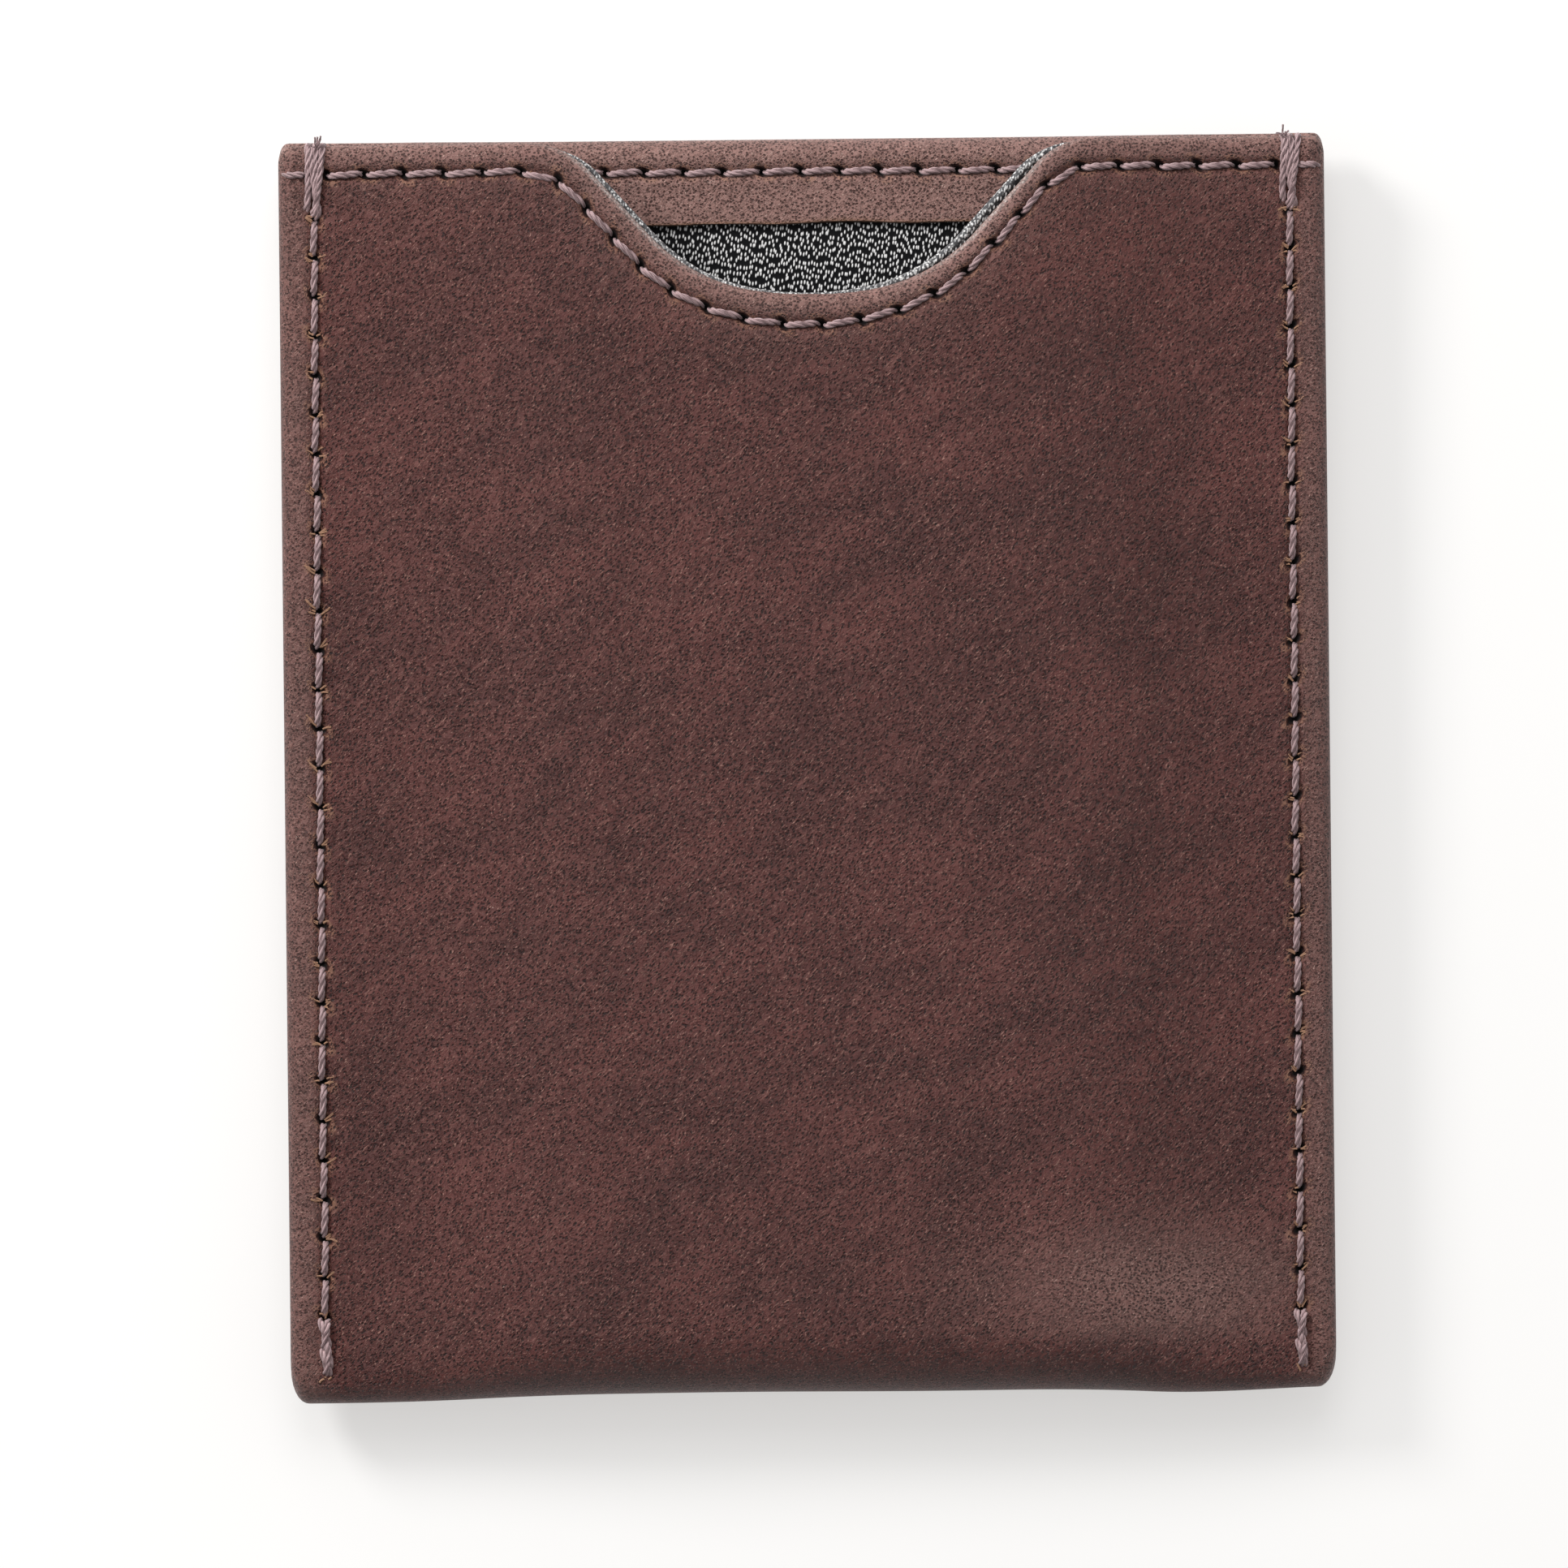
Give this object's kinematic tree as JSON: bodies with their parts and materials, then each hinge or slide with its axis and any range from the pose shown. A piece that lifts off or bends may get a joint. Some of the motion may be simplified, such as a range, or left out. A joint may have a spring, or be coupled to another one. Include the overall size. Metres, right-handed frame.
{
  "type": "minimalist wallet",
  "caption": "Slim brown leather sleeve wallet with a bell-shaped thumb notch, black textured lining, stitched sides and a front wall that flexes open at the mouth.",
  "frame": {"origin": "on the surface the wallet lies on, under the middle of its box", "axes": "+X to the right across the front, +Y from the bottom fold to the mouth, +Z out of the notched front"},
  "size_m": [0.08, 0.0966, 0.0098],
  "materials": {
    "outer_leather": "fine-grained brown leather, semi-matt, with open pores and a light sheen at the rolled edges",
    "lining": "black coated lining embossed with short raised bars, glossy on the bars",
    "interlining": "pressed fibre board, hidden between leather and lining",
    "thread": "twisted polyester sewing thread, dusty brown, soft sheen"
  },
  "bodies": {
    "back": {"back_panel": "outer_leather", "back_interlining": "interlining", "back_lining": "lining", "hem_needle_thread": "thread", "hem_bobbin_thread": "thread", "left_seam_needle_thread": "thread", "left_seam_bobbin_thread": "thread", "right_seam_needle_thread": "thread", "right_seam_bobbin_thread": "thread", "top_left_tack": "thread", "top_right_tack": "thread", "bottom_left_tack": "thread", "bottom_right_tack": "thread", "left_edge_loop": "thread", "right_edge_loop": "thread"},
    "front": {"front_panel": "outer_leather", "front_interlining": "interlining", "front_lining": "lining", "mouth_needle_thread": "thread", "mouth_bobbin_thread": "thread"}
  },
  "joints": [
    {"name": "mouth_open", "type": "hinge", "parent": "back", "child": "front", "pos_m": [0, -0.043, 0.00475], "axis": [1, 0, 0], "range_deg": [0, 4], "stiffness_Nm_per_rad": 1.5}
  ]
}
